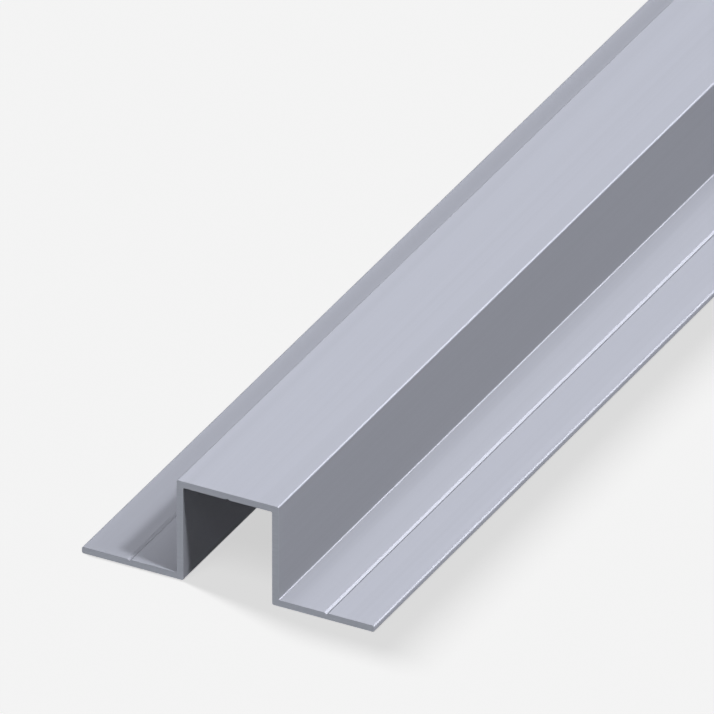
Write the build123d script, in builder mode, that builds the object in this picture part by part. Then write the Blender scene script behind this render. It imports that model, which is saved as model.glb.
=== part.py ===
from build123d import *
import os

# Hat-section aluminium extrusion: a straight bar of constant section, sawn square at both ends.
# A raised crown stands on two upright webs, and a flat flange runs out from the foot of each web.
# The section lies in X and Z, with X = 0 on its centre line and Z = 0 under the flanges.
# The length runs along Y, with Y = 0 at mid length.

# Driving dimensions
stock_length = 1000.0
wall = 1.5
crown_width = 23.5
crown_height = 23.5
flange_reach = 22.0

# Radii the die leaves on outside edges and in inside corners
edge_radius = 0.4
root_radius = 0.3

# Scribed lines that guide a drill, cut as a shallow V along the whole length
scribe_width = 1.0
scribe_depth = 0.3

# Sizes that follow from the driving dimensions
channel_width = crown_width - 2 * wall
channel_height = crown_height - wall
overall_width = crown_width + 2 * flange_reach
flange_middle = crown_width / 2 + flange_reach / 2

# The extruded profile, one piece of metal
with BuildPart() as hat_profile:
    with BuildSketch(Plane.XZ) as section:
        # Flange strip, crown block, and the channel taken out from below
        Rectangle(overall_width, wall, align=(Align.CENTER, Align.MIN))
        Rectangle(crown_width, crown_height, align=(Align.CENTER, Align.MIN))
        Rectangle(
            channel_width, channel_height, align=(Align.CENTER, Align.MIN), mode=Mode.SUBTRACT
        )

        # Inside corners: two under the crown, and one where each web meets its flange
        under_crown = section.vertices().group_by(Axis.Y)[-2]
        flange_roots = section.vertices().group_by(Axis.Y)[1].sort_by(Axis.X)[1:-1]
        fillet(under_crown + flange_roots, root_radius)

        # Outside edges: both flange tips, the crown's shoulders and the channel's mouth
        left_tip = section.vertices().group_by(Axis.X)[0]
        right_tip = section.vertices().group_by(Axis.X)[-1]
        shoulders = section.vertices().group_by(Axis.Y)[-1]
        channel_mouth = section.vertices().group_by(Axis.Y)[0].sort_by(Axis.X)[1:-1]
        fillet(left_tip + right_tip + shoulders + channel_mouth, edge_radius)

        # Scribed lines: along the middle of each flange's top, and under the crown's middle
        scribe_outline = [(-scribe_width / 2, 0), (scribe_width / 2, 0), (0, -scribe_depth)]
        with Locations((-flange_middle, wall), (flange_middle, wall)):
            Polygon(*scribe_outline, align=None, mode=Mode.SUBTRACT)
        with Locations(Location((0, channel_height), 180)):
            Polygon(*scribe_outline, align=None, mode=Mode.SUBTRACT)

    extrude(amount=stock_length / 2, both=True)

hat_profile.part.label = "hat_profile"
os.makedirs("parts", exist_ok=True)
export_step(hat_profile.part, "parts/hat_profile.step")
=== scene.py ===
import math

import bpy
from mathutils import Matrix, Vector


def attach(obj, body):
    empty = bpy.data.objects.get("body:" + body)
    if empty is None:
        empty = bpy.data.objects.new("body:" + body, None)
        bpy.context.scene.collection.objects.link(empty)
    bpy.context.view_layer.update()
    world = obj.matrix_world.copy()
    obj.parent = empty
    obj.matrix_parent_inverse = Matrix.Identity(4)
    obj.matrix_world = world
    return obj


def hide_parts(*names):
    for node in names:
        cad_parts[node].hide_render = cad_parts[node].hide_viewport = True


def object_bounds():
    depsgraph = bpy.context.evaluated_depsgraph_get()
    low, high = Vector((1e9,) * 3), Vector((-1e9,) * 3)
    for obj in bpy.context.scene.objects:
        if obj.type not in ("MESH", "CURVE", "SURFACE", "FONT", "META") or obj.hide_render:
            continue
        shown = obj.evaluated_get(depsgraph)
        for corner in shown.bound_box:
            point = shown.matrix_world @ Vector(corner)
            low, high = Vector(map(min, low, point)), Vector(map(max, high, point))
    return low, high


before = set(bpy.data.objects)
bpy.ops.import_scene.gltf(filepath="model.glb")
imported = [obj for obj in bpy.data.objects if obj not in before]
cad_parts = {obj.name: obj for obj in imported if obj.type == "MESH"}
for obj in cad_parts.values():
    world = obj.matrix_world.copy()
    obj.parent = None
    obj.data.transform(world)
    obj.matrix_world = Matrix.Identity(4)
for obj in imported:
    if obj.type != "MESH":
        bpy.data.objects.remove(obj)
cad_low, cad_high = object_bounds()


# The bar: one length of hat-section extrusion, pressed hot through a die and sawn square at both ends.
# The section never changes, so the piece is its outline carried along a straight line.
# The overall sizes come from the fixed model; crown, wall, radii and scribed lines are the die's.
class Wire:
    """One socket of a node tree. Arithmetic on it adds Math nodes to the tree."""

    def __init__(self, tree, socket=None):
        self.tree = tree
        self.socket = socket

    @staticmethod
    def find(sockets, key):
        if isinstance(key, int):
            return sockets[key]
        return next(s for s in sockets if key in (s.identifier, s.name))

    def node(self, kind, settings=None, inputs=None, output=0):
        made = self.tree.nodes.new(kind)
        for name, value in (settings or {}).items():
            setattr(made, name, value)
        for key, value in (inputs or {}).items():
            socket = self.find(made.inputs, key)
            if isinstance(value, Wire):
                self.tree.links.new(value.socket, socket)
            else:
                socket.default_value = value
        return Wire(self.tree, self.find(made.outputs, output) if made.outputs else None)

    def out(self, output):
        return Wire(self.tree, self.find(self.socket.node.outputs, output))

    def math(self, operation, *values):
        return self.node("ShaderNodeMath", {"operation": operation}, dict(enumerate(values)))

    def __add__(self, other):
        return self.math("ADD", self, other)

    def __sub__(self, other):
        return self.math("SUBTRACT", self, other)

    def __rsub__(self, other):
        return self.math("SUBTRACT", other, self)

    def __mul__(self, other):
        return self.math("MULTIPLY", self, other)

    __radd__ = __add__
    __rmul__ = __mul__


length = (cad_high - cad_low).y
half_width = (cad_high - cad_low).x / 2
crown_height = (cad_high - cad_low).z
crown_half = 0.01175
wall = 0.0015
edge_radius = 0.0004
root_radius = 0.0003
scribe_half = 0.0005
scribe_depth = 0.0003
scribe_radius = 0.00005
flange_middle = (crown_half + half_width) / 2
steps_per_radius = 8
faces_the_end = 0.9

under_crown = (0.0, crown_height - wall + scribe_depth, scribe_radius)
right_half = [
    (scribe_half, crown_height - wall, scribe_radius),
    (crown_half - wall, crown_height - wall, root_radius),
    (crown_half - wall, 0.0, edge_radius),
    (half_width, 0.0, edge_radius),
    (half_width, wall, edge_radius),
    (flange_middle + scribe_half, wall, scribe_radius),
    (flange_middle, wall - scribe_depth, scribe_radius),
    (flange_middle - scribe_half, wall, scribe_radius),
    (crown_half, wall, root_radius),
    (crown_half, crown_height, edge_radius),
]
left_half = [(-x, z, radius) for x, z, radius in reversed(right_half)]
corners = [under_crown] + right_half + left_half

section = bpy.data.meshes.new("section_outline")
section.from_pydata(
    [(x, z, 0.0) for x, z, radius in corners],
    [(i, (i + 1) % len(corners)) for i in range(len(corners))],
    [],
)
corner_radii = section.attributes.new("corner_radius", "FLOAT", "POINT")
corner_radii.data.foreach_set("value", [radius for x, z, radius in corners])

press = bpy.data.node_groups.new("press_and_saw", "GeometryNodeTree")
press.interface.new_socket("Outline", in_out="INPUT", socket_type="NodeSocketGeometry")
length_input = press.interface.new_socket("Length", in_out="INPUT", socket_type="NodeSocketFloat")
steps_input = press.interface.new_socket("Arc steps", in_out="INPUT", socket_type="NodeSocketInt")
finish_input = press.interface.new_socket("Finish", in_out="INPUT", socket_type="NodeSocketMaterial")
press.interface.new_socket("Bar", in_out="OUTPUT", socket_type="NodeSocketGeometry")

die = Wire(press).node("NodeGroupInput", output="Outline")
rounded = die.node(
    "GeometryNodeFilletCurve",
    {"mode": "POLY"},
    {
        "Curve": die.node("GeometryNodeMeshToCurve", inputs={"Mesh": die}),
        "Count": die.out("Arc steps"),
        "Radius": die.node(
            "GeometryNodeInputNamedAttribute", {"data_type": "FLOAT"}, {"Name": "corner_radius"}
        ),
    },
)
run = die.node(
    "GeometryNodeCurvePrimitiveLine",
    inputs={
        "Start": die.node("ShaderNodeCombineXYZ", inputs={"Y": die.out("Length") * 0.5}),
        "End": die.node("ShaderNodeCombineXYZ", inputs={"Y": die.out("Length") * -0.5}),
    },
)
crown_up = die.node("GeometryNodeSetCurveTilt", inputs={"Curve": run, "Tilt": math.pi})
pressed = die.node(
    "GeometryNodeCurveToMesh",
    inputs={"Curve": crown_up, "Profile Curve": rounded, "Fill Caps": True},
)
along = die.node(
    "ShaderNodeSeparateXYZ", inputs={0: die.node("GeometryNodeInputNormal")}, output="Y"
)
is_cut = die.node(
    "FunctionNodeCompare",
    {"data_type": "FLOAT", "operation": "GREATER_THAN"},
    {"A": along.math("ABSOLUTE", along), "B": faces_the_end},
)
marked = die.node(
    "GeometryNodeStoreNamedAttribute",
    {"data_type": "FLOAT", "domain": "FACE"},
    {"Geometry": pressed, "Name": "sawn", "Value": is_cut},
)
is_skin = die.node("FunctionNodeBooleanMath", {"operation": "NOT"}, {0: is_cut})
shaded = die.node(
    "GeometryNodeSetShadeSmooth", {"domain": "FACE"}, {"Geometry": marked, "Shade Smooth": is_skin}
)
whole = die.node("GeometryNodeRealizeInstances", inputs={"Geometry": shaded})
finished = die.node(
    "GeometryNodeSetMaterial", inputs={"Geometry": whole, "Material": die.out("Finish")}
)
die.node("NodeGroupOutput", inputs={"Bar": finished})

# The bar's finish: natural anodising, a clear oxide over metal that was etched to a satin.
# The die leaves faint lines along the bar, in tone, in sheen and as a shallow relief.
# The sawn ends are the same metal with the blade's marks across the cut.
anodised = bpy.data.materials.new("satin_anodising")
anodised.use_nodes = True
anodised.node_tree.nodes.clear()
place = Wire(anodised.node_tree).node("ShaderNodeTexCoord", output="Object")


def die_lines(lines_per_metre, kept_for, detail):
    """Noise in the section's plane that is drawn out along the bar."""
    drawn = place.node(
        "ShaderNodeVectorMath",
        {"operation": "MULTIPLY"},
        {0: place, 1: (lines_per_metre, 1 / kept_for, lines_per_metre)},
    )
    return place.node(
        "ShaderNodeTexNoise",
        {"noise_dimensions": "3D"},
        {"Vector": drawn, "Scale": 1.0, "Detail": detail, "Roughness": 0.6},
        "Fac",
    )


broad = die_lines(lines_per_metre=260.0, kept_for=0.9, detail=2.0)
fine = die_lines(lines_per_metre=1500.0, kept_for=0.35, detail=3.0)
lines = broad * 0.5 + fine * 0.5
sawn = place.node("ShaderNodeAttribute", {"attribute_name": "sawn"}, output="Fac")

skin_light = (0.612, 0.633, 0.726, 1.0)
skin_dark = (0.526, 0.545, 0.626, 1.0)
cut_light = (0.61, 0.64, 0.72, 1.0)
cut_dark = (0.52, 0.55, 0.63, 1.0)
blade_marks_per_metre = (180.0, 1.0, 3200.0)
bare_metal_share = 0.4
satin_roughness = 0.55
lines_roughness = 0.1
sawn_roughness = 0.02
relief_depth = 0.00002
relief_strength = 0.25
blade_relief = 2.0

skin_colour = place.node(
    "ShaderNodeMix",
    {"data_type": "RGBA"},
    {"Factor_Float": lines, "A_Color": skin_dark, "B_Color": skin_light},
    "Result_Color",
)
across_the_cut = place.node(
    "ShaderNodeVectorMath", {"operation": "MULTIPLY"}, {0: place, 1: blade_marks_per_metre}
)
blade_marks = place.node(
    "ShaderNodeTexNoise",
    {"noise_dimensions": "3D"},
    {"Vector": across_the_cut, "Scale": 1.0, "Detail": 2.0},
    "Fac",
)
cut_colour = place.node(
    "ShaderNodeMix",
    {"data_type": "RGBA"},
    {"Factor_Float": blade_marks, "A_Color": cut_dark, "B_Color": cut_light},
    "Result_Color",
)
metal_colour = place.node(
    "ShaderNodeMix",
    {"data_type": "RGBA"},
    {"Factor_Float": sawn, "A_Color": skin_colour, "B_Color": cut_colour},
    "Result_Color",
)
relief = place.node(
    "ShaderNodeBump",
    inputs={
        "Strength": relief_strength,
        "Distance": relief_depth,
        "Height": lines * (1 - sawn) + blade_marks * sawn * blade_relief,
    },
)
surface = place.node(
    "ShaderNodeBsdfPrincipled",
    inputs={
        "Base Color": metal_colour,
        "Metallic": bare_metal_share,
        "Roughness": satin_roughness + lines * lines_roughness + sawn * sawn_roughness,
        "Normal": relief,
    },
)
place.node("ShaderNodeOutputMaterial", inputs={"Surface": surface})

bar = bpy.data.objects.new("extruded_bar", section)
bpy.context.collection.objects.link(bar)
pressing = bar.modifiers.new("press_and_saw", "NODES")
pressing.node_group = press
pressing[length_input.identifier] = length
pressing[steps_input.identifier] = steps_per_radius
pressing[finish_input.identifier] = anodised
flats_kept_flat = bar.modifiers.new("flats_kept_flat", "WEIGHTED_NORMAL")
flats_kept_flat.weight = 100
flats_kept_flat.keep_sharp = True
made = bpy.data.meshes.new_from_object(bar.evaluated_get(bpy.context.evaluated_depsgraph_get()))
bar.modifiers.clear()
bar.data = made
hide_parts("hat_profile")
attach(bar, "root")

# The table: a plain pale floor that the bar lies on, matt and without a join.
# It glows a little, as a lit studio table does, so that the shadows on it stay light.
# It hides no lamp from the bar, because two of them stand in for the light that it throws back.
floor_reach = 30.0
table_tone = (0.80, 0.80, 0.80, 1.0)
table_glow = 0.615
floor_corners = [(-1, -1), (1, -1), (1, 1), (-1, 1)]
floor_mesh = bpy.data.meshes.new("floor")
floor_mesh.from_pydata(
    [(x * floor_reach, y * floor_reach, 0.0) for x, y in floor_corners], [], [(0, 1, 2, 3)]
)
floor = bpy.data.objects.new("floor", floor_mesh)
bpy.context.collection.objects.link(floor)
pale = bpy.data.materials.new("pale_table")
pale.use_nodes = True
table_top = pale.node_tree.nodes["Principled BSDF"].inputs
table_top["Base Color"].default_value = table_tone
table_top["Roughness"].default_value = 1.0
table_top["Specular IOR Level"].default_value = 0.0
table_top["Emission Color"].default_value = (1.0, 1.0, 1.0, 1.0)
table_top["Emission Strength"].default_value = table_glow
floor_mesh.materials.append(pale)
floor.visible_glossy = False
floor.visible_diffuse = False
floor.visible_shadow = False

# The lamps: soft distant ones, one set for the bar and one for the table.
# Their light isn't passed on from face to face, so each face keeps its own plain tone.
# Most of the bar's light falls from above and the right, and the table's shadow falls to the right.
bar_alone = bpy.data.collections.new("bar_alone")
bar_alone.objects.link(bar)
table_alone = bpy.data.collections.new("table_alone")
table_alone.objects.link(floor)


def lamp(name, lit, turn, lift, strength, spread):
    """A distant lamp that lights one set of objects. Its turn from the right, its lift from level
    and its spread are in degrees."""
    bulb = bpy.data.lights.new(name, "SUN")
    bulb.energy = strength
    bulb.angle = math.radians(spread)
    bulb.cycles.max_bounces = 0
    bulb.cycles.use_multiple_importance_sampling = False
    around = math.radians(turn)
    above = math.radians(lift)
    level = math.cos(above)
    towards = Vector((math.cos(around) * level, math.sin(around) * level, math.sin(above)))
    held = bpy.data.objects.new(name, bulb)
    held.rotation_mode = "QUATERNION"
    held.rotation_quaternion = towards.to_track_quat("Z", "Y")
    held.light_linking.receiver_collection = lit
    bpy.context.collection.objects.link(held)


lamp("key", bar_alone, turn=-10.0, lift=55.3, strength=1.45, spread=5.5)
lamp("right", bar_alone, turn=0.0, lift=42.3, strength=0.47, spread=10.0)
lamp("right_overhead", bar_alone, turn=0.0, lift=70.7, strength=0.32, spread=12.0)
lamp("right_back", bar_alone, turn=51.8, lift=29.3, strength=0.57, spread=10.0)
lamp("back_low", bar_alone, turn=66.3, lift=20.1, strength=0.66, spread=10.0)
lamp("back_overhead", bar_alone, turn=104.0, lift=50.5, strength=0.20, spread=10.0)
lamp("overhead", bar_alone, turn=0.0, lift=90.0, strength=0.62, spread=20.0)
lamp("front_overhead", bar_alone, turn=-79.4, lift=50.9, strength=0.44, spread=10.0)
lamp("front_low", bar_alone, turn=-90.0, lift=6.0, strength=1.15, spread=10.0)
lamp("bounce_right", bar_alone, turn=0.0, lift=-60.0, strength=0.51, spread=12.0)
lamp("bounce_left", bar_alone, turn=180.0, lift=-60.0, strength=0.51, spread=12.0)
lamp("left_low", bar_alone, turn=180.0, lift=-5.0, strength=0.8, spread=8.0)
lamp("table_left", table_alone, turn=166.0, lift=34.5, strength=1.34, spread=12.0)
lamp("table_front", table_alone, turn=-90.0, lift=60.0, strength=0.41, spread=30.0)

# The studio's walls: plain and pale, the same tone as the lit table, so that no edge shows between.
# They are there to be seen, and give the bar almost no light of their own.
wall_tone = (0.905, 0.905, 0.905, 1.0)
wall_light = (1.0, 1.0, 1.0, 1.0)
wall_light_strength = 0.004
world = bpy.data.worlds.new("studio")
bpy.context.scene.world = world
world.use_nodes = True
world.node_tree.nodes.clear()
is_looked_at = Wire(world.node_tree).node("ShaderNodeLightPath", output="Is Camera Ray")
seen = is_looked_at.node("ShaderNodeBackground", inputs={"Color": wall_tone, "Strength": 1.0})
felt = is_looked_at.node(
    "ShaderNodeBackground", inputs={"Color": wall_light, "Strength": wall_light_strength}
)
walls = is_looked_at.node("ShaderNodeMixShader", inputs={0: is_looked_at, 1: felt, 2: seen})
is_looked_at.node("ShaderNodeOutputWorld", inputs={"Surface": walls})

# The camera: it looks down on the near end of the bar, from the front and a little to the right.
# Its lens is very long, because the lengthwise edges of the photographed bar run parallel.
# The point it aims at is given from the middle of the near end, in the picture's own directions.
camera_azimuth = math.radians(27.744)
camera_elevation = math.radians(30.674)
sensor_width = 36.0
lens_to_sensor = 47.0
camera_distance = 6.8472
aim_right = 0.026376
aim_up = 0.048041
toward_camera = Vector(
    (
        math.sin(camera_azimuth) * math.cos(camera_elevation),
        -math.cos(camera_azimuth) * math.cos(camera_elevation),
        math.sin(camera_elevation),
    )
)
turned = toward_camera.to_track_quat("Z", "Y")
front_end = Vector((0.0, cad_low.y, 0.0))
aim = front_end + turned @ Vector((aim_right, aim_up, 0.0))
camera = bpy.data.objects.new("camera", bpy.data.cameras.new("camera"))
camera.data.sensor_width = sensor_width
camera.data.lens = sensor_width * lens_to_sensor
camera.rotation_mode = "QUATERNION"
camera.rotation_quaternion = turned
camera.location = aim + toward_camera * camera_distance
bpy.context.collection.objects.link(camera)
bpy.context.scene.camera = camera
bpy.context.scene.view_settings.view_transform = "Standard"
